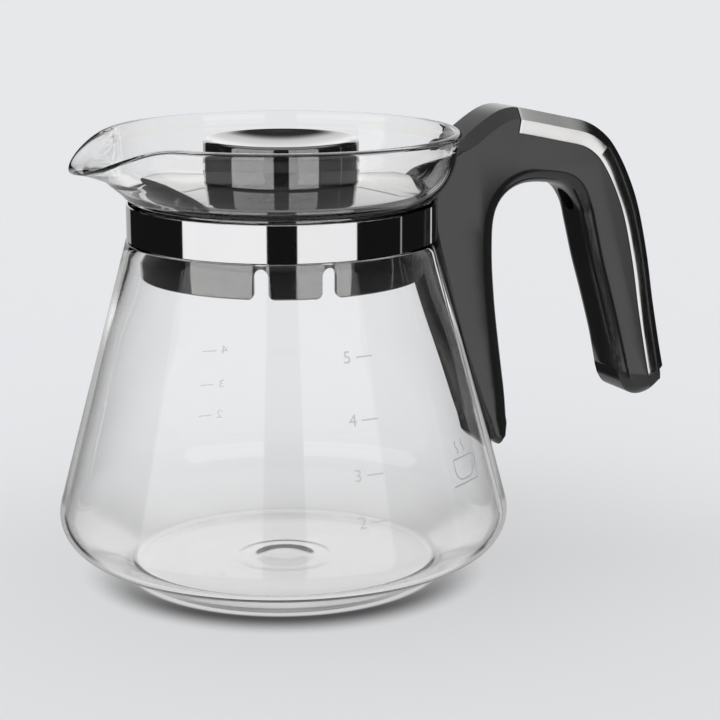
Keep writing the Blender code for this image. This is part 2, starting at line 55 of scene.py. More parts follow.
# ---- what the frame says ------------------------------------------------------------------
def low_high(node):
    """A node's lowest and highest corners, in millimetres."""
    low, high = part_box(node)
    return low / MM, high / MM


jug_high = low_high("glass_jug")[1]
band_low, band_high = low_high("neck_band")
cover_low, cover_high = low_high("lid_cover")
skirt_low, skirt_high = low_high("lid_skirt")
knob_low, knob_high = low_high("lid_knob")
body_high = low_high("handle_body")[1]
screw_low, screw_high = low_high("clamp_screw")

# ---- driving dimensions, in millimetres -----------------------------------------------------
WALL_THICK = 1.3
COLLAR_THICK = 1.7
SHOULDER_THICK = 1.5
FLOOR_THICK = 2.0
WALL_GROWTH = ((28.0, 1.08), (50.0, 1.0), (62.0, 1.08), (70.0, 1.38), (78.0, 1.92), (85.0, 2.1))
RIM_Z = jug_high.z
RIM_RADIUS = 49.4
RIM_BEAD = 1.2
BASE_RADIUS = 42.4
BASE_RISE = 28.7
SHOULDER_RADIUS = 10.0
SHOULDER_CENTRE = (53.3, 17.37)
WALL_TAPER = 0.268
WALL_TOP = (43.05, 94.15)
NECK_RADIUS = 41.8
NECK_INNER = 39.5
NECK_Z = (94.4, 105.2)
COLLAR_RADIUS = 48.35
COLLAR_CURVE = 17.2
COLLAR_CURVE_Z = 119.0
COLLAR_SWEEP = 48.0            # how far the collar's bulge turns in, in degrees
MARK_RADIUS = 13.0            # pressed ring in the middle of the base
MARK_DIP = 7.4
GLASS_SEGMENTS = 256

SPOUT_REACH = 10.9
SPOUT_DIP = 8.3
SPOUT_HALF_ANGLE = math.radians(36.0)
SPOUT_FOOT_Z = 108.0

BAND_INNER = 42.1
BAND_THICK = 0.6
BAND_END_Y = 4.9
BAND_HOOK_Y = 2.9

LID_EDGE_RADIUS = cover_high.y
LID_EDGE_Z = 108.6
LID_CROWN_Z = cover_high.z
LID_PLATE = 1.8
WINDOW_X = cover_low.x
SKIRT_RADIUS = skirt_high.x
SKIRT_WALL = 1.8
TAB_ANGLES = (0.0, 108.0, -108.0)
NOTCH_OFFSET = 13.0
NOTCH_WIDTH = 3.8
NOTCH_HEIGHT = 7.8

KNOB_RADIUS = knob_high.x
KNOB_WALL = 1.9
DISH_RADIUS = 19.9
DISH_DEPTH = 3.0
HUB_DEPTH = 5.0

HALF_WIDTH = body_high.y
OUTER_CHAMFER = 3.2
INNER_ROUND = 5.0
SCREW_Z = (screw_low.z + screw_high.z) / 2
SCREW_RADIUS = 1.95
SCREW_HEAD_RADIUS = screw_high.y
HEAD_SEAT_X = 58.5
HEAD_HEIGHT = 2.4
DRIVER_BORE_RADIUS = 3.3
TRIM_THICK = 0.8
TRIM_DEPTH = 7.1
TRIM_START_X = 70.6
FIT_GAP = 0.3

# the handle's side view, (X, Z): the ridge over the top and down the grip, then back round
RIDGE = [(50.4, 117.3), (56.8, 122.3), (62.9, 126.1), (67.4, 127.5), (72.0, 127.2),
         (84.0, 124.6), (93.9, 122.1), (100.5, 117.9), (105.0, 112.3), (109.3, 104.2),
         (112.7, 95.0), (116.0, 81.2), (118.5, 67.2), (121.4, 53.0), (122.9, 46.4)]
GRIP_END = [(121.9, 42.6), (117.6, 39.8), (113.0, 39.0), (109.4, 40.4), (107.2, 43.6)]
GAP_EDGE = [(104.6, 52.1), (101.9, 61.7), (99.1, 71.2), (96.2, 80.6), (93.5, 91.0),
            (91.4, 98.2), (87.2, 103.4), (80.5, 105.2), (73.0, 105.2), (67.2, 102.4),
            (63.9, 96.6), (63.4, 86.0), (64.4, 72.0), (66.2, 58.0), (68.2, 44.0), (69.0, 35.0)]
TONGUE_END = [(68.2, 30.9), (65.6, 28.8), (62.9, 30.8)]
JUG_SIDE = [(61.6, 36.0), (53.7, 58.1), (48.7, 75.1), (44.95, 88.8), (43.75, 93.4), (43.4, 95.0),
            (43.3, 105.6),
            (45.2, 108.1), (47.4, 111.6), (48.8, 115.2)]

# the cup scale on the glass: cups and the height of each mark
CUP_MARKS = ((5, 70.8), (4, 55.0), (3, 41.2), (2, 29.4))


# ---- mesh helpers ----------------------------------------------------------------------------
def arc(centre, radius, start, end, count):
    """Points on a circle from one angle to another, in degrees."""
    points = []
    for step in range(count + 1):
        angle = math.radians(start + (end - start) * step / count)
        points.append((centre[0] + radius * math.cos(angle), centre[1] + radius * math.sin(angle)))
    return points


def line(start, end, count):
    """Points from start towards end, without the end itself."""
    return [(start[0] + (end[0] - start[0]) * i / count, start[1] + (end[1] - start[1]) * i / count)
            for i in range(count)]


def smooth_path(points, steps):
    """A Catmull-Rom curve through the points, with so many steps between neighbours."""
    ends = [points[0]] + list(points) + [points[-1]]
    path = []
    for i in range(1, len(ends) - 2):
        p0, p1, p2, p3 = (Vector(p) for p in ends[i - 1:i + 3])
        for step in range(steps):
            t = step / steps
            path.append(0.5 * (2 * p1 + (p2 - p0) * t + (2 * p0 - 5 * p1 + 4 * p2 - p3) * t * t
                               + (3 * p1 - p0 - 3 * p2 + p3) * t ** 3))
    path.append(Vector(points[-1]))
    return path


def new_mesh(name, verts, faces, material, angle=35.0):
    """A mesh object from points in millimetres, facing out and shaded smooth."""
    mesh = bpy.data.meshes.new(name)
    mesh.from_pydata([tuple(c * MM for c in v) for v in verts], [], faces)
    edit = bmesh.new()
    edit.from_mesh(mesh)
    bmesh.ops.recalc_face_normals(edit, faces=edit.faces)
    edit.to_mesh(mesh)
    edit.free()
    item = bpy.data.objects.new(name, mesh)
    bpy.context.scene.collection.objects.link(item)
    mesh.materials.append(material)
    mesh.shade_smooth()
    mesh.set_sharp_from_angle(angle=math.radians(angle))
    return item


def turned(name, profile, material, segments=128, angle=35.0, shift=None, axis="Z"):
    """A closed profile of (radius, height) turned round the axis; radius 0 makes a pole."""
    verts = []
    rings = []
    for r, z in profile:
        if r < 1e-6:
            verts.append((0.0, 0.0, z))
            rings.append([len(verts) - 1])
            continue
        ring = []
        for k in range(segments):
            a = TURN * k / segments
            verts.append((r * math.cos(a), r * math.sin(a), z))
            ring.append(len(verts) - 1)
        rings.append(ring)
    faces = []
    pairs = list(zip(rings, rings[1:] + rings[:1]))
    for one, two in pairs:
        if len(one) == 1 and len(two) == 1:
            continue
        for k in range(segments):
            n = (k + 1) % segments
            if len(one) == 1:
                faces.append((one[0], two[k], two[n]))
            elif len(two) == 1:
                faces.append((one[k], two[0], one[n]))
            else:
                faces.append((one[k], two[k], two[n], one[n]))
    if shift is not None:
        verts = [shift(*v) for v in verts]
    if axis == "X":
        verts = [(z, y, -x) for x, y, z in verts]
    return new_mesh(name, verts, faces, material, angle)


def swept(name, section, path, sides, outs, material, angle=30.0):
    """A closed section carried along a path; sides and outs are its two axes at each point."""
    verts = []
    for i, (point, side, out) in enumerate(zip(path, sides, outs)):
        shape = section(i / (len(path) - 1)) if callable(section) else section
        for across, away in shape:
            verts.append(tuple(point + side * across + out * away))
    count = len(verts) // len(path)
    faces = []
    for i in range(len(path) - 1):
        for k in range(count):
            n = (k + 1) % count
            faces.append((i * count + k, i * count + n, (i + 1) * count + n, (i + 1) * count + k))
    faces.append(tuple(range(count)))
    faces.append(tuple(range((len(path) - 1) * count, len(path) * count)))
    return new_mesh(name, verts, faces, material, angle)


def box_piece(name, low, high):
    """A plain cutter box."""
    verts = [(x, y, z) for x in (low[0], high[0]) for y in (low[1], high[1]) for z in (low[2], high[2])]
    faces = [(0, 1, 3, 2), (4, 6, 7, 5), (0, 4, 5, 1), (2, 3, 7, 6), (0, 2, 6, 4), (1, 5, 7, 3)]
    return new_mesh(name, verts, faces, bpy.data.materials.new("cutter"))


def cut(item, *tools, bevel=0.0, angle=30.0, sharper=50.0):
    """Cut the tools out of the item, optionally soften the cut edges, and keep the result."""
    for tool in tools:
        step = item.modifiers.new("cut", "BOOLEAN")
        step.operation = "DIFFERENCE"
        step.solver = "EXACT"
        step.object = tool
    if bevel:
        soft = item.modifiers.new("soft", "BEVEL")
        soft.width = bevel * MM
        soft.segments = 2
        soft.limit_method = "ANGLE"
        soft.angle_limit = math.radians(sharper)
    bpy.context.view_layer.update()
    graph = bpy.context.evaluated_depsgraph_get()
    mesh = bpy.data.meshes.new_from_object(item.evaluated_get(graph))
    item.modifiers.clear()
    item.data = mesh
    while len(mesh.materials) > 1:
        mesh.materials.pop()
    mesh.polygons.foreach_set("material_index", [0] * len(mesh.polygons))
    for tool in tools:
        bpy.data.objects.remove(tool, do_unlink=True)
    mesh.shade_smooth()
    mesh.set_sharp_from_angle(angle=math.radians(angle))
    return item


def place(item, body, slot, *nodes):
    """Tell the frame which body the piece rides on and hide the nodes it stands for; slot, its finish, is not
    used.
    """
    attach(item, body)
    if nodes:
        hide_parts(*nodes)
    return item


# ---- materials -------------------------------------------------------------------------------
def material(name, colour, roughness, metallic=0.0):
    made = bpy.data.materials.new(name)
    made.use_nodes = True
    shader = made.node_tree.nodes["Principled BSDF"]
    shader.inputs["Base Color"].default_value = (*colour, 1.0)
    shader.inputs["Roughness"].default_value = roughness
    shader.inputs["Metallic"].default_value = metallic
    return made, shader


def noise(made, scale, detail=3.0, stretch=(1.0, 1.0, 1.0)):
    """Noise in the piece's own space; scale is features per millimetre."""
    nodes, links = made.node_tree.nodes, made.node_tree.links
    place_node = nodes.new("ShaderNodeTexCoord")
    mapping = nodes.new("ShaderNodeMapping")
    mapping.inputs["Scale"].default_value = tuple(s * scale / MM for s in stretch)
    texture = nodes.new("ShaderNodeTexNoise")
    texture.inputs["Scale"].default_value = 1.0
    texture.inputs["Detail"].default_value = detail
    links.new(place_node.outputs["Object"], mapping.inputs["Vector"])
    links.new(mapping.outputs["Vector"], texture.inputs["Vector"])
    return texture.outputs["Fac"]


def spread(made, source, low, high, socket):
    """Map a 0-1 pattern to a range and feed it to a shader input."""
    nodes, links = made.node_tree.nodes, made.node_tree.links
    ramp = nodes.new("ShaderNodeMapRange")
    ramp.inputs["From Min"].default_value = 0.3
    ramp.inputs["From Max"].default_value = 0.7
    ramp.inputs["To Min"].default_value = low
    ramp.inputs["To Max"].default_value = high
    links.new(source, ramp.inputs["Value"])
    links.new(ramp.outputs["Result"], socket)


def tint(made, source, dark, light, socket):
    """Vary a colour between two values with a 0-1 pattern."""
    nodes, links = made.node_tree.nodes, made.node_tree.links
    mix = nodes.new("ShaderNodeMix")
    mix.data_type = "RGBA"
    mix.inputs["A"].default_value = (*dark, 1.0)
    mix.inputs["B"].default_value = (*light, 1.0)
    links.new(source, mix.inputs["Factor"])
    links.new(mix.outputs["Result"], socket)


def bump(made, shader, source, height, strength=1.0):
    """Raise the surface by a pattern; height is in millimetres."""
    nodes, links = made.node_tree.nodes, made.node_tree.links
    node = nodes.new("ShaderNodeBump")
    node.inputs["Strength"].default_value = strength
    node.inputs["Distance"].default_value = height * MM
    links.new(source, node.inputs["Height"])
    links.new(node.outputs["Normal"], shader.inputs["Normal"])


def glass_material():
    """Clear borosilicate: faint waviness from blowing and a trace of haze."""
    made, shader = material("jug_glass", (1.0, 0.998, 0.994), 0.0)
    shader.inputs["Transmission Weight"].default_value = 1.0
    shader.inputs["IOR"].default_value = 1.474
    shader.inputs["Specular Tint"].default_value = (0.5, 0.5, 0.5, 1.0)
    spread(made, noise(made, 0.03, 4.0), 0.0, 0.012, shader.inputs["Roughness"])
    bump(made, shader, noise(made, 0.045, 1.0, (1.0, 1.0, 0.4)), 0.02)
    return made


def polished_material():
    """Mirror-polished strip with hairlines running round it."""
    made, shader = material("polished_band", (0.53, 0.53, 0.54), 0.04, 1.0)
    lines = noise(made, 0.02, 6.0, (1.0, 1.0, 300.0))
    spread(made, lines, 0.02, 0.05, shader.inputs["Roughness"])
    tint(made, noise(made, 0.05, 4.0), (0.51, 0.51, 0.52), (0.56, 0.56, 0.565),
         shader.inputs["Base Color"])
    bump(made, shader, lines, 0.0004)
    return made


def brushed_material():
    """Brushed steel trim, the grain running along the handle."""
    made, shader = material("brushed_trim", (0.56, 0.555, 0.55), 0.2, 1.0)
    grain = noise(made, 0.06, 5.0, (1.0, 120.0, 1.0))
    spread(made, grain, 0.12, 0.22, shader.inputs["Roughness"])
    tint(made, grain, (0.50, 0.495, 0.49), (0.62, 0.615, 0.61), shader.inputs["Base Color"])
    bump(made, shader, grain, 0.004)
    return made


def plastic_material(name, shade, low, high, peel, coat=0.0, coat_ior=1.5):
    """Gloss black moulding: a little orange peel, finger haze and fine grain."""
    made, shader = material(name, (shade, shade, shade * 1.05), low)
    shader.inputs["IOR"].default_value = 1.53
    shader.inputs["Coat Weight"].default_value = coat
    shader.inputs["Coat IOR"].default_value = coat_ior
    spread(made, noise(made, 0.04, 6.0), low, high, shader.inputs["Roughness"])
    tint(made, noise(made, 1.5, 3.0), (shade * 0.8,) * 3, (shade * 1.3,) * 3, shader.inputs["Base Color"])
    bump(made, shader, noise(made, 0.22, 2.0), peel)
    return made


def plated_material(name, colour, low, high):
    """Zinc-plated or plain steel fixings."""
    made, shader = material(name, colour, low, 1.0)
    spread(made, noise(made, 0.8, 5.0), low, high, shader.inputs["Roughness"])
    darker = tuple(c * 0.85 for c in colour)
    tint(made, noise(made, 0.5, 4.0), darker, colour, shader.inputs["Base Color"])
    bump(made, shader, noise(made, 3.0, 3.0), 0.01)
    return made


def print_material(name, low, high):
    """Fired enamel of the cup scale: pale, slightly worn."""
    made, shader = material(name, (high,) * 3, 0.5)
    worn = noise(made, 2.5, 5.0)
    tint(made, worn, (low,) * 3, (high,) * 3, shader.inputs["Base Color"])
    spread(made, worn, 0.4, 0.65, shader.inputs["Roughness"])
    bump(made, shader, worn, 0.01)
    return made


# ---- the glass -------------------------------------------------------------------------------
def outside_profile():
    """Outside of the jug from the bead down to the middle of the base."""
    lip = [(RIM_RADIUS, RIM_Z - RIM_BEAD), (RIM_RADIUS - 0.25, RIM_Z - 2.4),
           (RIM_RADIUS - 0.65, RIM_Z - 3.6), (COLLAR_RADIUS + 0.05, RIM_Z - 4.8)]
    points = [tuple(p) for p in smooth_path(lip, 4)]
    points += arc((COLLAR_RADIUS - COLLAR_CURVE, COLLAR_CURVE_Z), COLLAR_CURVE, -1.5, -COLLAR_SWEEP, 24)
    fold = [points[-1], (NECK_RADIUS + 0.2, NECK_Z[1] + 0.35), (NECK_RADIUS, NECK_Z[1] - 0.3)]
    points += [tuple(p) for p in smooth_path(fold, 3)[1:]]
    points += line((NECK_RADIUS, NECK_Z[1] - 0.3), (NECK_RADIUS, NECK_Z[0] + 0.1), 4)[1:]
    points += [(NECK_RADIUS, NECK_Z[0] + 0.1), (NECK_RADIUS + 0.1, NECK_Z[0] + 0.02),
               (NECK_RADIUS + 0.4, NECK_Z[0]), (WALL_TOP[0] - 0.3, NECK_Z[0] - 0.03)]
    lean = math.degrees(math.atan(WALL_TAPER))
    shoulder = arc(SHOULDER_CENTRE, SHOULDER_RADIUS, lean, BASE_RISE - 90.0, 28)
    points += line(WALL_TOP, shoulder[0], 28)
    points += shoulder
    slope = math.tan(math.radians(BASE_RISE))
    points += line(shoulder[-1], (BASE_RADIUS + 1.4, 1.4 * slope), 6)[1:]
    points += [(BASE_RADIUS + 1.4, 1.4 * slope), (BASE_RADIUS + 0.6, 0.26), (BASE_RADIUS - 0.3, 0.05)]
    points += line((BASE_RADIUS - 1.4, 0.0), (MARK_RADIUS + 1.5, 0.0), 8)
    points += [(MARK_RADIUS + 1.5, 0.0), (MARK_RADIUS + 0.8, 0.03), (MARK_RADIUS, 0.10),
               (MARK_RADIUS - 0.9, 0.17), (MARK_RADIUS - 2.6, 0.2), (MARK_DIP + 1.6, 0.22)]
    points += [(MARK_DIP + 0.8, 0.3), (MARK_DIP, 0.5), (MARK_DIP - 1.0, 0.7), (MARK_DIP - 2.6, 0.8),
               (2.4, 0.84), (0.0, 0.85)]
    return points


def inside_profile():
    """Inside of the jug from the middle of the floor up to the bead; the neck is thicker."""
    lean = math.degrees(math.atan(WALL_TAPER))
    corner = arc(SHOULDER_CENTRE, SHOULDER_RADIUS - SHOULDER_THICK, BASE_RISE - 90.0, lean, 28)
    slope = math.tan(math.radians(BASE_RISE))
    floor_edge = corner[0][0] - (corner[0][1] - FLOOR_THICK) / slope
    points = [(0.0, FLOOR_THICK + 0.35)]
    points += [(r, FLOOR_THICK + 0.35 * math.cos(math.pi / 2 * min(1.0, r / 15.0)))
               for r in (2.0, 4.0, 6.0, 8.0, 10.0, 12.0, 15.0, 22.0, 30.0, 36.0)]
    blend = 3.0
    bend = [(floor_edge - blend, FLOOR_THICK), (floor_edge, FLOOR_THICK + 0.35),
            (floor_edge + blend, FLOOR_THICK + blend * slope)]
    points += [tuple(p) for p in smooth_path(bend, 5)]
    points += line(bend[-1], corner[0], 5)[1:]
    points += corner
    wall = [corner[-1]] + [(wall_radius(z) - WALL_THICK * grow, z) for z, grow in WALL_GROWTH]
    wall += [(41.2, 91.0), (NECK_INNER + 0.4, 95.0), (NECK_INNER, 98.0)]
    points += [tuple(p) for p in smooth_path(wall, 6)[1:]]
    fold = [(NECK_INNER, 101.0), (NECK_INNER, 103.5), (NECK_INNER + 0.25, 105.0),
            (NECK_INNER + 1.0, 106.2)]
    points += [tuple(p) for p in smooth_path(fold, 4)]
    points += arc((COLLAR_RADIUS - COLLAR_CURVE, COLLAR_CURVE_Z), COLLAR_CURVE - COLLAR_THICK,
                  -COLLAR_SWEEP, 0.0, 24)
    lip = [points[-1], (RIM_RADIUS - 2.7, 120.3), (RIM_RADIUS - 2.55, 121.5),
           (RIM_RADIUS - 2.4, RIM_Z - RIM_BEAD)]
    points += [tuple(p) for p in smooth_path(lip, 4)[1:-1]]
    return points


def glass_profile():
    bead = arc((RIM_RADIUS - RIM_BEAD, RIM_Z - RIM_BEAD), RIM_BEAD, 180.0, 0.0, 14)[:-1]
    return outside_profile() + inside_profile() + bead


def spout_shift(x, y, z):
    """Carry a point of the collar out and down to form the pouring lip."""
    radius = math.hypot(x, y)
    off_axis = math.atan2(abs(y), -x)
    if off_axis > SPOUT_HALF_ANGLE or z < SPOUT_FOOT_Z or radius < 1.0:
        return x, y, z
    across = 0.5 + 0.5 * math.cos(math.pi * off_axis / SPOUT_HALF_ANGLE)
    up = (z - SPOUT_FOOT_Z) / (RIM_Z - SPOUT_FOOT_Z)
    drop = max(0.0, (up - 0.27) / 0.73)
    grow = (radius + SPOUT_REACH * across * up ** 1.1) / radius
    return x * grow, y * grow, z - SPOUT_DIP * across ** 1.3 * drop ** 1.15


def build_glass():
    jug = turned("jug_glass_fine", glass_profile(), glass_material(), GLASS_SEGMENTS, 60.0, spout_shift)
    jug.visible_diffuse = False         # clear glass does not shade the table
    return place(jug, "jug", "jug_glass", "glass_jug")


def wall_radius(z):
    """Outer radius of the straight wall at a height."""
    return WALL_TOP[0] + (WALL_TOP[1] - z) * WALL_TAPER


# ---- the print on the glass ---------------------------------------------------------------------
def flat_text(words, size):
    """A text as (points, faces) in the XY plane, centred, in millimetres."""
    curve = bpy.data.curves.new("text", "FONT")
    curve.body = words
    curve.size = size
    curve.align_x = "CENTER"
    curve.align_y = "CENTER"
    item = bpy.data.objects.new("text", curve)
    bpy.context.scene.collection.objects.link(item)
    bpy.context.view_layer.update()
    graph = bpy.context.evaluated_depsgraph_get()
    mesh = bpy.data.meshes.new_from_object(item.evaluated_get(graph))
    points = [(v.co.x, v.co.y) for v in mesh.vertices]
    faces = [tuple(p.vertices) for p in mesh.polygons]
    bpy.data.objects.remove(item, do_unlink=True)
    return points, faces


def stroke(path, width):
    """A flat ribbon along a path, as (points, faces)."""
    points, faces = [], []
    closed = (Vector(path[0]) - Vector(path[-1])).length < 1e-6
    for i, p in enumerate(path):
        before = Vector(path[i - 1] if i else (path[-2] if closed else path[0]))
        after = Vector(path[i + 1] if i < len(path) - 1 else (path[1] if closed else path[-1]))
        along = (after - before).normalized()
        side = Vector((-along.y, along.x)) * width / 2
        points += [tuple(Vector(p) + side), tuple(Vector(p) - side)]
    for i in range(len(path) - 1):
        faces.append((2 * i, 2 * i + 1, 2 * i + 3, 2 * i + 2))
    return points, faces


def wrap_print(name, shapes, angle, height, made):
    """Lay flat shapes on the wall round an angle, as one thin raised film."""
    film, float_gap = 0.05, 0.02
    merged = bmesh.new()
    for points, faces in shapes:
        made_verts = [merged.verts.new((x, y, 0.0)) for x, y in points]
        for face in faces:
            merged.faces.new([made_verts[i] for i in face])
    bmesh.ops.remove_doubles(merged, verts=merged.verts, dist=1e-4)
    bmesh.ops.recalc_face_normals(merged, faces=merged.faces)
    bmesh.ops.solidify(merged, geom=merged.faces[:], thickness=film)
    lean = math.atan(WALL_TAPER)
    levels = [v.co.z for v in merged.verts]
    base = min(levels)
    for vertex in merged.verts:
        x, y, lift = vertex.co.x, vertex.co.y, vertex.co.z - base + float_gap
        z = height + y * math.cos(lean)
        radius = wall_radius(z) + lift / math.cos(lean)
        turn = math.radians(angle) + x / wall_radius(z)
        vertex.co = (radius * math.cos(turn) * MM, radius * math.sin(turn) * MM, z * MM)
    bmesh.ops.recalc_face_normals(merged, faces=merged.faces)
    mesh = bpy.data.meshes.new(name)
    merged.to_mesh(mesh)
    merged.free()
    mesh.materials.append(made)
    item = bpy.data.objects.new(name, mesh)
    bpy.context.scene.collection.objects.link(item)
    return place(item, "jug", "jug_glass")


def cup_outline():
    """A plain cup on its saucer, drawn with thin lines."""
    bowl = [(-4.6, 3.0), (-4.5, 0.4)]
    bowl += arc((-1.6, 0.2), 2.9, 180.0, 270.0, 6) + arc((1.6, 0.2), 2.9, 270.0, 360.0, 6)
    bowl += [(4.6, 3.0), (-4.6, 3.0)]
    ear = arc((4.6, 1.1), 1.9, 80.0, -75.0, 10)
    saucer = [(-6.4, -4.0), (6.4, -4.0)]
    steam = [[(x + 0.5 * math.sin(t * 1.1), 4.4 + 0.55 * t) for t in range(7)] for x in (-1.9, 1.2)]
    return [stroke(path, 0.45) for path in [bowl, ear, saucer] + steam]


def build_print():
    front = print_material("scale_print", 0.54, 0.66)
    drawing = print_material("cup_print", 0.40, 0.52)
    # the rear marks get a lighter copy of the same enamel: painted light on the marks seen from behind
    # through the glass
    rear = print_material("scale_print_rear", 0.85, 0.95)
    for side, angle, made in (("front", -90.0, front), ("rear", 90.0, rear)):
        for cups, height in CUP_MARKS:
            digits = flat_text(str(cups), 4.6)
            dash = stroke([(2.6, 0.0), (7.1, 0.0)], 0.4)
            wrap_print(f"cup_mark_{side}_{cups}", [digits, dash], angle - 3.5, height, made)
    wrap_print("cup_picture", cup_outline(), -90.0 + 33.0, 37.0, drawing)


# ---- the neck band and its clamp ----------------------------------------------------------------
def build_band():
    """A polished strap round the neck, its ends turned out over the clamp block."""
    middle = BAND_INNER + BAND_THICK / 2
    start = math.degrees(math.asin(BAND_END_Y / middle))
    ring = arc((0.0, 0.0), middle, start, 360.0 - start, 220)
    end_x = band_high.x - BAND_THICK / 2
    corner = 1.0
    upper = [(end_x, BAND_HOOK_Y)]
    upper += [tuple(p) for p in arc((end_x - corner, BAND_END_Y - corner), corner, 0.0, 90.0, 5)]
    lower = [(x, -y) for x, y in reversed(upper)]
    flat = upper + ring + lower
    path = [Vector((x, y, (band_low.z + band_high.z) / 2)) for x, y in flat]
    sides, outs = [], []
    for i in range(len(path)):
        along = (path[min(i + 1, len(path) - 1)] - path[max(i - 1, 0)]).normalized()
        outs.append(Vector((along.y, -along.x, 0.0)))
        sides.append(Vector((0.0, 0.0, 1.0)))
    half_z = (band_high.z - band_low.z) / 2
    half_t = BAND_THICK / 2
    soft = 0.14
    section = [(-half_z + soft, -half_t), (half_z - soft, -half_t), (half_z, -half_t + soft),
               (half_z, half_t - soft), (half_z - soft, half_t), (-half_z + soft, half_t),
               (-half_z, half_t - soft), (-half_z, -half_t + soft)]
    band = swept("neck_band_fine", section, path, sides, outs, polished_material(), 30.0)
    return place(band, "jug", "polished_band", "neck_band")


def build_fixings():
    zinc = plated_material("clamp_metal", (0.62, 0.63, 0.66), 0.24, 0.40)
    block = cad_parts["clamp_block"]
    block.data.materials.clear()
    block.data.materials.append(zinc)

    length = screw_high.x - screw_low.x
    shank = length - HEAD_HEIGHT
    socket = 1.25
    depth = length - 1.2
    profile = [(0.0, depth), (socket, depth), (socket, length - 0.15), (socket + 0.15, length), (2.3, length)]
    profile += arc((SCREW_HEAD_RADIUS - 1.1, length - 1.1), 1.1, 80.0, 0.0, 6)
    profile += [(SCREW_HEAD_RADIUS, shank + 0.15), (SCREW_HEAD_RADIUS - 0.15, shank),
                (SCREW_RADIUS, shank), (SCREW_RADIUS, 0.8), (SCREW_RADIUS - 0.7, 0.0), (0.0, 0.0)]
    screw = turned("clamp_screw_fine", profile, zinc, 64, axis="X")
    screw.data.transform(Matrix.Translation((screw_low.x * MM, 0.0, SCREW_Z * MM)))
    place(screw, "jug", "clamp_metal", "clamp_screw")

    washer_low, washer_high = low_high("screw_washer")
    inner = SCREW_RADIUS + FIT_GAP
    outer = washer_high.y
    thick = washer_high.x - washer_low.x
    ease = 0.12
    ring = [(inner, thick), (outer - ease, thick), (outer, thick - ease), (outer, ease),
            (outer - ease, 0.0), (inner, 0.0)]
    washer = turned("screw_washer_fine", ring, zinc, 64, axis="X")
    washer.data.transform(Matrix.Translation((washer_low.x * MM, 0.0, SCREW_Z * MM)))
    place(washer, "jug", "clamp_metal", "screw_washer")


# ---- the handle -----------------------------------------------------------------------------------
def handle_outline(steps):
    """Closed side outline: (point, edge softening, 1 where the edge is a flat chamfer)."""
    outline = []
    for points, count, size, flat in ((RIDGE, steps, OUTER_CHAMFER, 1.0),
                                      (GRIP_END, steps // 2, 2.4, 0.6),
                                      (GAP_EDGE, steps, INNER_ROUND, 0.0), (TONGUE_END, steps // 2, 2.0, 0.0),
                                      (JUG_SIDE, steps // 2, 0.7, 0.0)):
        outline += [(Vector(p), size, flat) for p in smooth_path(points, count)]
    return outline


def resample(outline, spacing):
    """Even spacing along the closed outline, with the edge sizes blended between stretches."""
    dense = []
    total = len(outline)
    for i in range(total):
        a, b = outline[i], outline[(i + 1) % total]
        gap = (b[0] - a[0]).length
        count = max(1, round(gap / spacing))
        for k in range(count):
            t = k / count
            dense.append((a[0].lerp(b[0], t), a[1], a[2]))
    kept = [dense[0]]
    for item in dense[1:]:
        if (item[0] - kept[-1][0]).length > spacing * 0.6:
            kept.append(item)
    reach = 7
    count = len(kept)
    blended = []
    for i in range(count):
        sizes = [kept[(i + k) % count][1] for k in range(-reach, reach + 1)]
        flats = [kept[(i + k) % count][2] for k in range(-reach, reach + 1)]
        blended.append((kept[i][0], sum(sizes) / len(sizes), sum(flats) / len(flats)))
    return blended


def build_handle(made):
    """Side faces joined by a rim whose edges are chamfered outside and rounded inside."""
    outline = resample(handle_outline(6), 0.8)
    count = len(outline)
    points = [o[0] for o in outline]
    area = sum(points[i].x * points[(i + 1) % count].y - points[(i + 1) % count].x * points[i].y
               for i in range(count))
    turn = 1.0 if area > 0 else -1.0
    inward = []
    for i in range(count):
        along = (points[(i + 2) % count] - points[i - 2]).normalized()
        inward.append(Vector((-along.y, along.x)) * turn)
    rings = 8
    verts = []
    for side in (-1.0, 1.0):
        steps = range(rings + 1)
        for step in steps:
            t = math.pi / 2 * step / rings
            for (point, size, flat), way in zip(outline, inward):
                straight = step / rings
                move = size * ((1.0 - flat) * (1.0 - math.cos(t)) + flat * straight)
                width = HALF_WIDTH - size * (1.0 - ((1.0 - flat) * math.sin(t) + flat * straight))
                spot = point + way * move
                verts.append((spot.x, side * width, spot.y))
    faces = []
    per_side = (rings + 1) * count
    for side in (0, 1):
        for step in range(rings):
            for i in range(count):
                n = (i + 1) % count
                a = side * per_side + step * count
                faces.append((a + i, a + n, a + count + n, a + count + i))
        faces.append(tuple(side * per_side + rings * count + i for i in range(count)))
    for i in range(count):
        n = (i + 1) % count
        faces.append((i, n, per_side + n, per_side + i))
    body = new_mesh("handle_fine", verts, faces, made, 25.0)

    trim = trim_path(0.5)
    start = trim[0] + (trim[0] - trim[1]).normalized() * FIT_GAP
    end = trim[-1] + (trim[-1] - trim[-2]).normalized() * 6.0
    recess = channel("trim_recess", channel_section(TRIM_THICK + FIT_GAP * 0.4,
                                                    TRIM_DEPTH + FIT_GAP * 0.8, 3.0, 3.0),
                     [start] + trim[1:] + [end], made)
    pocket = box_piece("pocket", (40.0, -6.2, 94.1), (49.3, 6.2, 105.4))
    shank = rod_piece("shank_hole", SCREW_RADIUS + 0.4, 45.0, 62.0, made)
    seat = rod_piece("head_seat", SCREW_HEAD_RADIUS + 0.5, HEAD_SEAT_X, 72.0, made)
    bore = rod_piece("driver_bore", DRIVER_BORE_RADIUS, 84.0, 116.0, made)
    cut(body, recess, pocket, shank, seat, bore, angle=25.0)
    return place(body, "jug", "handle_plastic", "handle_body")


def rod_piece(name, radius, start, end, made):
    """A round cutter along X at the screw's height."""
    length = end - start
    rod = turned(name, [(0.0, 0.0), (radius, 0.0), (radius, length), (0.0, length)], made, 48, axis="X")
    rod.data.transform(Matrix.Translation((start * MM, 0.0, SCREW_Z * MM)))
    return rod


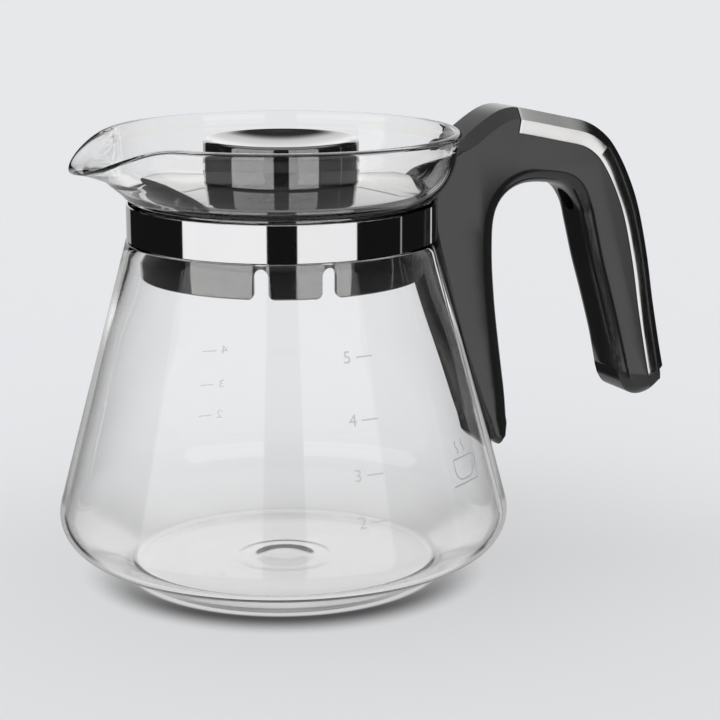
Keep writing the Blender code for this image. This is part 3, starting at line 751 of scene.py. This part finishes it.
def trim_path(spacing):
    """The part of the ridge that the steel trim follows."""
    dense = [p for p in smooth_path(RIDGE, 24) if p.x >= TRIM_START_X]
    path = [dense[0]]
    for p in dense[1:]:
        if (p - path[-1]).length > spacing:
            path.append(p)
    path[-1] = dense[-1]
    return path


def channel(name, section, path, made):
    """A channel-shaped section swept along a path in the XZ plane."""
    points = [Vector((p.x, 0.0, p.y)) for p in path]
    outs, sides = [], []
    for i in range(len(points)):
        along = (points[min(i + 1, len(points) - 1)] - points[max(i - 1, 0)]).normalized()
        outs.append(Vector((-along.z, 0.0, along.x)))
        sides.append(Vector((0.0, 1.0, 0.0)))
    return swept(name, section, points, sides, outs, made)


def channel_section(thickness, reach, lift, side):
    """Flat top, chamfers and two cheeks, as a closed section of (across, out)."""
    flat = HALF_WIDTH - OUTER_CHAMFER
    outer = [(-HALF_WIDTH - side, -reach), (-HALF_WIDTH - side, -OUTER_CHAMFER),
             (-flat - side, lift), (flat + side, lift),
             (HALF_WIDTH + side, -OUTER_CHAMFER), (HALF_WIDTH + side, -reach)]
    shrink = thickness * math.tan(math.radians(22.5))
    inner_side = HALF_WIDTH - thickness
    inner = [(inner_side, -reach), (inner_side, -OUTER_CHAMFER - shrink),
             (flat - shrink, -thickness), (-flat + shrink, -thickness),
             (-inner_side, -OUTER_CHAMFER - shrink), (-inner_side, -reach)]
    return outer + inner


# how far the trim's cheeks lean in, in degrees, at shares of its length
CHEEK_LEAN = ((0.0, 0.0), (0.2, 0.0), (0.36, 4.0), (0.46, 9.0), (0.60, 5.5), (0.74, 4.5),
              (0.88, 7.0), (1.0, 8.0))


def cheek_lean(share):
    for (start, low), (end, high) in zip(CHEEK_LEAN, CHEEK_LEAN[1:]):
        if share <= end:
            part = (share - start) / (end - start)
            return low + (high - low) * part * part * (3.0 - 2.0 * part)
    return CHEEK_LEAN[-1][1]


def trim_section(share):
    """The channel with its cheeks leaning in towards the chamfers."""
    section = channel_section(TRIM_THICK, TRIM_DEPTH, 0.0, 0.0)
    lean = math.tan(math.radians(cheek_lean(share))) * (TRIM_DEPTH - OUTER_CHAMFER)
    across, away = section[1]
    section[1] = (across + lean, away)
    across, away = section[4]
    section[4] = (across - lean, away)
    return section


def build_trim():
    trim = channel("handle_trim_fine", trim_section, trim_path(0.6), brushed_material())
    cut(trim, bevel=0.16, angle=40.0, sharper=65.0)
    return place(trim, "jug", "brushed_trim", "handle_trim")


# ---- the lid --------------------------------------------------------------------------------------
def build_cover():
    inner = SKIRT_RADIUS - SKIRT_WALL
    under = LID_EDGE_Z - LID_PLATE
    hole = 2.1
    slope_end = (LID_EDGE_RADIUS - 0.9, LID_EDGE_Z + 0.02)
    profile = [(hole, LID_CROWN_Z), (KNOB_RADIUS - 3.0, LID_CROWN_Z), (KNOB_RADIUS, LID_CROWN_Z - 0.02)]
    profile += line((KNOB_RADIUS + 1.0, LID_CROWN_Z - 0.08), slope_end, 8)
    profile += arc((LID_EDGE_RADIUS - 0.8, LID_EDGE_Z - 0.78), 0.8, 85.0, -60.0, 12)
    profile += [(SKIRT_RADIUS, skirt_high.z + FIT_GAP), (inner - 0.6, skirt_high.z + FIT_GAP),
                (inner - 0.9, under)]
    profile += [(KNOB_RADIUS, LID_CROWN_Z - LID_PLATE), (HUB_DEPTH, LID_CROWN_Z - LID_PLATE),
                (HUB_DEPTH, LID_CROWN_Z - HUB_DEPTH), (hole, LID_CROWN_Z - HUB_DEPTH)]
    made = plastic_material("cover_plastic", 0.008, 0.03, 0.07, 0.004, 1.0, 2.0)
    cover = turned("lid_cover_fine", profile, made, 224)
    window = box_piece("window", (-60.0, -60.0, 90.0), (WINDOW_X, 60.0, 112.0))
    cut(cover, window, bevel=0.15)
    return place(cover, "lid", "cover_plastic", "lid_cover")


def notch_cutters():
    """A round-topped slot on each side of every snap tab."""
    half = NOTCH_WIDTH / 2
    foot = skirt_low.z
    top = foot + NOTCH_HEIGHT - half
    round_off = 1.8
    outline = [(-half - round_off - 0.2, foot - 1.0), (-half - round_off, foot)]
    outline += arc((-half - round_off, foot + round_off), round_off, -80.0, 0.0, 6)
    outline += arc((0.0, top), half, 180.0, 0.0, 16)
    outline += [(-x, z) for x, z in reversed(outline[:9])]
    tools = []
    count = len(outline)
    for tab in TAB_ANGLES:
        for side in (-1, 1):
            spin = Matrix.Rotation(math.radians(tab + side * NOTCH_OFFSET), 4, "Z")
            verts = []
            for depth in (SKIRT_RADIUS - 6.0, SKIRT_RADIUS + 4.0):
                verts += [tuple(spin @ Vector((depth, x, z))) for x, z in outline]
            faces = [tuple(range(count)), tuple(range(count, 2 * count))]
            faces += [(i, (i + 1) % count, count + (i + 1) % count, count + i) for i in range(count)]
            tools.append(new_mesh("notch", verts, faces, bpy.data.materials.new("cutter")))
    return tools


def build_skirt():
    inner = SKIRT_RADIUS - SKIRT_WALL
    foot, top = skirt_low.z, skirt_high.z
    profile = [(inner, top), (SKIRT_RADIUS, top), (SKIRT_RADIUS, foot + 0.5)]
    profile += arc((SKIRT_RADIUS - 0.5, foot + 0.5), 0.5, 0.0, -90.0, 5)[1:]
    profile += [(inner + 0.3, foot), (inner, foot + 0.3)]
    made = plastic_material("skirt_plastic", 0.012, 0.08, 0.14, 0.006, 1.0, 2.35)
    skirt = turned("lid_skirt_fine", profile, made, 224)
    cut(skirt, *notch_cutters(), bevel=0.18)
    return place(skirt, "lid", "skirt_plastic", "lid_skirt")


def build_knob():
    dish_floor = knob_high.z - DISH_DEPTH
    sphere = (DISH_RADIUS ** 2 + DISH_DEPTH ** 2) / (2 * DISH_DEPTH)
    reach = math.degrees(math.asin(DISH_RADIUS / sphere))
    dish = arc((0.0, dish_floor + sphere), sphere, -90.0, -90.0 + reach, 24)
    dish[0] = (0.0, dish_floor)
    wall = KNOB_RADIUS - KNOB_WALL
    ceiling = dish_floor - KNOB_WALL
    profile = dish[:-1] + arc((KNOB_RADIUS - 1.15, knob_high.z - 1.15), 1.15, 108.0, 0.0, 12)
    profile += [(KNOB_RADIUS, knob_low.z + 0.25), (KNOB_RADIUS - 0.25, knob_low.z), (wall, knob_low.z),
                (wall, knob_high.z - 3.4), (12.0, ceiling + 0.4), (4.6, ceiling), (4.6, knob_low.z),
                (1.9, knob_low.z), (1.9, ceiling - 0.2), (0.0, ceiling - 0.2)]
    made = plastic_material("knob_plastic", 0.008, 0.03, 0.08, 0.004, 1.0, 2.15)
    knob = turned("lid_knob_fine", profile, made, 192, 40.0)
    place(knob, "lid", "knob_plastic", "lid_knob")


def build_knob_screw():
    low, high = low_high("knob_screw")
    head_top = low.z + 2.0
    profile = [(0.0, high.z), (1.0, high.z), (1.6, high.z - 0.8), (1.6, head_top), (3.0, head_top)]
    profile += arc((2.0, low.z + 1.0), 1.0, 0.0, -90.0, 6)
    profile += [(1.1, low.z), (1.0, low.z + 0.1), (1.0, low.z + 1.0), (0.0, low.z + 1.0)]
    made = plated_material("screw_steel", (0.70, 0.70, 0.71), 0.18, 0.32)
    screw = turned("knob_screw_fine", profile, made, 64)
    place(screw, "lid", "screw_steel", "knob_screw")


# ---- studio ----------------------------------------------------------------------------------------
CAMERA_AT = (-0.21881, -0.51548, 0.1927)
CAMERA_PITCH = 76.6
CAMERA_YAW = -25.21
LENS = 102.5
SENSOR = 36.0


def build_camera():
    data = bpy.data.cameras.new("camera")
    data.lens = LENS
    data.sensor_width = SENSOR
    data.clip_start = 0.01
    data.clip_end = 20.0
    camera = bpy.data.objects.new("camera", data)
    camera.location = CAMERA_AT
    camera.rotation_euler = (math.radians(CAMERA_PITCH), 0.0, math.radians(CAMERA_YAW))
    bpy.context.scene.collection.objects.link(camera)
    bpy.context.scene.camera = camera


class Graph:
    """Short way to write shader maths as nodes."""

    def __init__(self, tree):
        self.nodes = tree.nodes
        self.links = tree.links

    def feed(self, socket, value):
        if isinstance(value, (int, float)):
            socket.default_value = value
        else:
            self.links.new(value, socket)

    def sum(self, operation, *values):
        node = self.nodes.new("ShaderNodeMath")
        node.operation = operation
        for socket, value in zip(node.inputs, values):
            self.feed(socket, value)
        return node.outputs[0]

    def dot(self, vector, axis):
        node = self.nodes.new("ShaderNodeVectorMath")
        node.operation = "DOT_PRODUCT"
        self.links.new(vector, node.inputs[0])
        node.inputs[1].default_value = axis
        return node.outputs["Value"]

    def mix(self, share, first, second):
        node = self.nodes.new("ShaderNodeMix")
        self.feed(node.inputs["Factor"], share)
        self.feed(node.inputs["A"], first)
        self.feed(node.inputs["B"], second)
        return node.outputs["Result"]

    def fade(self, value, start, end, low=0.0, high=1.0):
        node = self.nodes.new("ShaderNodeMapRange")
        node.interpolation_type = "SMOOTHSTEP"
        node.inputs["From Min"].default_value = start
        node.inputs["From Max"].default_value = end
        node.inputs["To Min"].default_value = low
        node.inputs["To Max"].default_value = high
        self.feed(node.inputs["Value"], value)
        return node.outputs["Result"]


VIEW_AZIMUTH = -23.0            # the viewer's side of the jug, in degrees from -Y towards -X
# each soft box: from and to, in degrees from the viewer's side towards the handle; the lowest and
# highest elevation as a sine; brightness
SOFT_BOXES = (
    (-77.0, -11.0, -0.50, 0.62, 1.55),
    (11.0, 56.0, -0.50, 0.62, 1.50),
    (97.0, 98.5, -0.50, 0.50, 0.5),
    (144.0, 147.0, -0.50, 0.50, 1.0),
)
BACKDROP_FROM = 149.0
BACKDROP_LIGHT = (0.5, 1.15)     # below and above the horizon
DARK = 0.012
EDGE_SOFT = 0.02                # radians of blur at the sides of a soft box
ROOM_LIGHT = 1.0
TABLE_GLOW = 0.7                # what reflections see straight below them
FLOOR_SHADE = (0.795, 0.805, 0.825)


def build_world():
    """Pale backdrop, even light on matt surfaces, soft boxes and dark gaps for reflections."""
    world = bpy.data.worlds.new("studio")
    bpy.context.scene.world = world
    world.use_nodes = True
    world.cycles.sampling_method = "NONE"
    tree = world.node_tree
    graph = Graph(tree)
    direction = graph.nodes.new("ShaderNodeTexCoord").outputs["Generated"]
    up = graph.dot(direction, (0.0, 0.0, 1.0))
    a = math.radians(VIEW_AZIMUTH)
    ahead = graph.dot(direction, (math.sin(a), -math.cos(a), 0.0))
    side = graph.dot(direction, (math.cos(a), math.sin(a), 0.0))
    turn = graph.sum("ARCTAN2", side, ahead)
    boxes = DARK
    for start, end, low, high, power in SOFT_BOXES:
        mask = graph.fade(turn, math.radians(start) - EDGE_SOFT / 2, math.radians(start) + EDGE_SOFT / 2)
        mask = graph.sum("MULTIPLY", mask, graph.fade(turn, math.radians(end) - EDGE_SOFT / 2,
                                                      math.radians(end) + EDGE_SOFT / 2, 1.0, 0.0))
        mask = graph.sum("MULTIPLY", mask, graph.fade(up, low, low + 0.05))
        mask = graph.sum("MULTIPLY", mask, graph.fade(up, high - 0.12, high, 1.0, 0.0))
        boxes = graph.sum("ADD", graph.sum("MULTIPLY", mask, power), boxes)
    away = graph.sum("ABSOLUTE", turn)
    edge = math.radians(BACKDROP_FROM)
    backdrop = graph.fade(away, edge - EDGE_SOFT, edge + EDGE_SOFT)
    backdrop = graph.sum("MULTIPLY", backdrop, graph.fade(up, -0.05, 0.12, *BACKDROP_LIGHT))
    backdrop = graph.sum("MULTIPLY", backdrop, graph.fade(up, 0.40, 0.55, 1.0, 0.05))
    top = graph.fade(up, 0.55, 0.86, 0.0, 0.85)
    studio = graph.sum("MAXIMUM", graph.sum("MAXIMUM", boxes, backdrop), top)
    studio = graph.sum("MAXIMUM", studio, graph.fade(up, -0.65, -0.48, TABLE_GLOW, 0.0))

    path = graph.nodes.new("ShaderNodeLightPath")
    through = graph.fade(up, 0.25, 0.60, 0.80, 0.12)
    mirrored = graph.sum("GREATER_THAN", path.outputs["Glossy Depth"], 0.5)
    clear = graph.mix(mirrored, through, studio)
    matt = graph.sum("GREATER_THAN", path.outputs["Diffuse Depth"], 0.5)
    light = graph.mix(matt, clear, ROOM_LIGHT)
    mix = graph.nodes.new("ShaderNodeMix")
    mix.data_type = "RGBA"
    mix.inputs["B"].default_value = (*FLOOR_SHADE, 1.0)
    graph.links.new(path.outputs["Is Camera Ray"], mix.inputs["Factor"])
    graph.links.new(light, mix.inputs["A"])
    background = tree.nodes["Background"]
    graph.links.new(mix.outputs["Result"], background.inputs["Color"])


FLOOR_RADIUS = 6000.0
FLOOR_STEPS = 96
FLOOR_GAP = 0.05               # the table lies this far below the base
# painted shade: the floor is painted darker towards the front, down to this colour
FLOOR_NEAR = (0.765, 0.769, 0.780)
CONTACT_SHADOW = (43.8, 45.6, 46.5, 59.0)      # where the table is painted darker round the base, a painted contact shadow, as radii
# how dark the painted contact shadow gets
CONTACT_SHADOW_DARK = 0.9
UNDER_SHADE_DARK = 0.12                # share of painted shade below the base itself
FLOOR_FADE = (-0.12, 0.0)      # metres in front of the jug


def build_floor():
    """A wide pale floor that melts into the backdrop, painted darker towards the front, with a painted
    contact shadow round the base and painted shade under it; reflections look past it.
    """
    made, shader = material("floor", FLOOR_SHADE, 0.6)
    shader.inputs["Specular IOR Level"].default_value = 0.0
    graph = Graph(made.node_tree)
    spot = graph.nodes.new("ShaderNodeTexCoord").outputs["Object"]
    a = math.radians(VIEW_AZIMUTH)
    nearness = graph.dot(spot, (math.sin(a), -math.cos(a), 0.0))
    wave = graph.sum("MULTIPLY", graph.sum("SUBTRACT", noise(made, 0.02, 4.0), 0.5), 0.06)
    # painted shade, darker towards the front, with a little random tone
    share = graph.sum("ADD", graph.fade(nearness, FLOOR_FADE[0], FLOOR_FADE[1]), wave)
    tone = graph.nodes.new("ShaderNodeMix")
    tone.data_type = "RGBA"
    tone.inputs["A"].default_value = (*FLOOR_SHADE, 1.0)
    tone.inputs["B"].default_value = (*FLOOR_NEAR, 1.0)
    graph.links.new(share, tone.inputs["Factor"])
    reach = graph.nodes.new("ShaderNodeVectorMath")
    reach.operation = "LENGTH"
    graph.links.new(spot, reach.inputs[0])
    radius_out = reach.outputs["Value"]
    # painted shade under the base and a painted contact shadow round it, strongest on the viewer's side,
    # mixed towards near black
    under = graph.fade(radius_out, 0.80 * CONTACT_SHADOW[0] * MM, 1.15 * CONTACT_SHADOW[0] * MM, UNDER_SHADE_DARK, 0.0)
    inside = graph.fade(radius_out, CONTACT_SHADOW[0] * MM, CONTACT_SHADOW[1] * MM)
    outside = graph.fade(radius_out, CONTACT_SHADOW[2] * MM, CONTACT_SHADOW[3] * MM, 1.0, 0.0)
    front = graph.fade(nearness, -0.015, 0.045, 0.03, CONTACT_SHADOW_DARK)
    contact_shadow = graph.sum("MULTIPLY", graph.sum("MULTIPLY", inside, outside), front)
    contact_shadow = graph.sum("MAXIMUM", contact_shadow, under)
    shaded = graph.nodes.new("ShaderNodeMix")
    shaded.data_type = "RGBA"
    shaded.inputs["B"].default_value = (0.02, 0.02, 0.021, 1.0)
    graph.links.new(contact_shadow, shaded.inputs["Factor"])
    graph.links.new(tone.outputs["Result"], shaded.inputs["A"])
    graph.links.new(shaded.outputs["Result"], shader.inputs["Base Color"])
    # reflections look past the table, also those seen through the glass
    path = graph.nodes.new("ShaderNodeLightPath")
    mirrored = graph.sum("GREATER_THAN", path.outputs["Glossy Depth"], 0.5)
    nothing = graph.nodes.new("ShaderNodeBsdfTransparent")
    choice = graph.nodes.new("ShaderNodeMixShader")
    graph.links.new(mirrored, choice.inputs["Fac"])
    graph.links.new(shader.outputs["BSDF"], choice.inputs[1])
    graph.links.new(nothing.outputs["BSDF"], choice.inputs[2])
    graph.links.new(choice.outputs["Shader"], made.node_tree.nodes["Material Output"].inputs["Surface"])
    turns = [TURN * k / FLOOR_STEPS for k in range(FLOOR_STEPS)]
    verts = [(FLOOR_RADIUS * math.cos(t), FLOOR_RADIUS * math.sin(t), -FLOOR_GAP) for t in turns]
    floor = new_mesh("floor", verts, [tuple(range(FLOOR_STEPS))], made)
    floor.visible_glossy = False


def build_studio():
    build_camera()
    build_world()
    build_floor()
    bpy.context.scene.view_settings.view_transform = "Standard"


def main():
    handle_black = plastic_material("handle_plastic", 0.012, 0.10, 0.17, 0.003)
    build_glass()
    build_print()
    build_band()
    build_fixings()
    build_handle(handle_black)
    build_trim()
    build_cover()
    build_skirt()
    build_knob()
    build_knob_screw()
    build_studio()


main()
